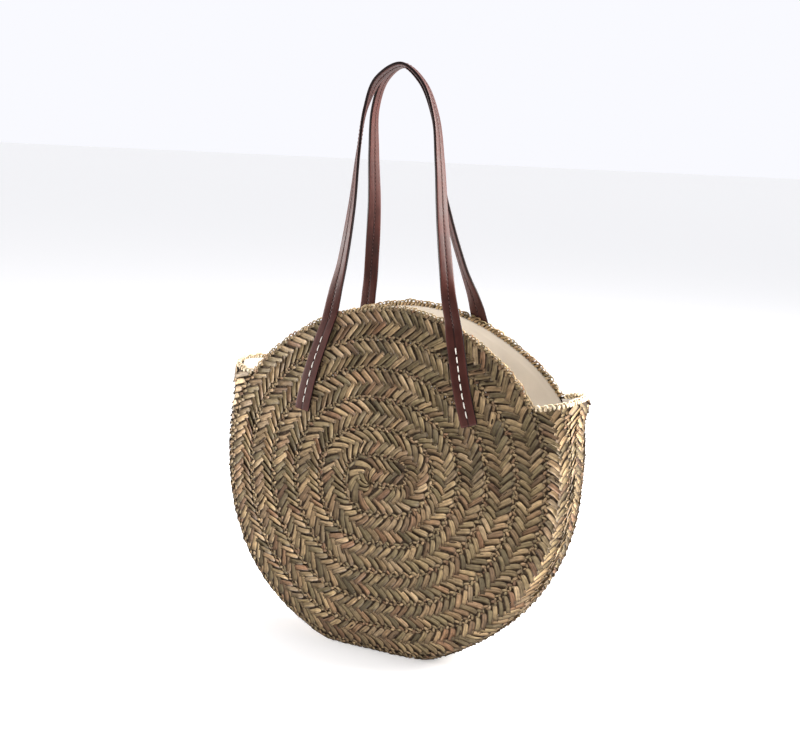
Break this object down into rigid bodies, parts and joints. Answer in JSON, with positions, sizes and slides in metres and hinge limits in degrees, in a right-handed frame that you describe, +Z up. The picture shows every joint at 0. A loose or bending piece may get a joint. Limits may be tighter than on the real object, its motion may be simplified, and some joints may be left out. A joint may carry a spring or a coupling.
{
  "type": "straw basket bag",
  "caption": "Round bag of sewn straw braid with a side band, cotton lining and long leather shoulder straps sewn on its faces.",
  "frame": {"origin": "middle of the flat patch that the bag stands on", "axes": "+Z up towards the handles, -Y out of the front panel, X across the width of the bag"},
  "size_m": [0.415, 0.1333, 0.6508],
  "materials": {
    "straw_braid": "dry split palm leaf, plaited and sewn, matt with a faint sheen",
    "cotton_lining": "plain woven cotton, matt",
    "strap_leather": "smooth folded leather, semi-matt"
  },
  "bodies": {
    "root": {"front_panel": "straw_braid", "back_panel": "straw_braid", "side_band": "straw_braid", "lining": "cotton_lining", "front_handle": "strap_leather", "back_handle": "strap_leather"}
  },
  "joints": []
}
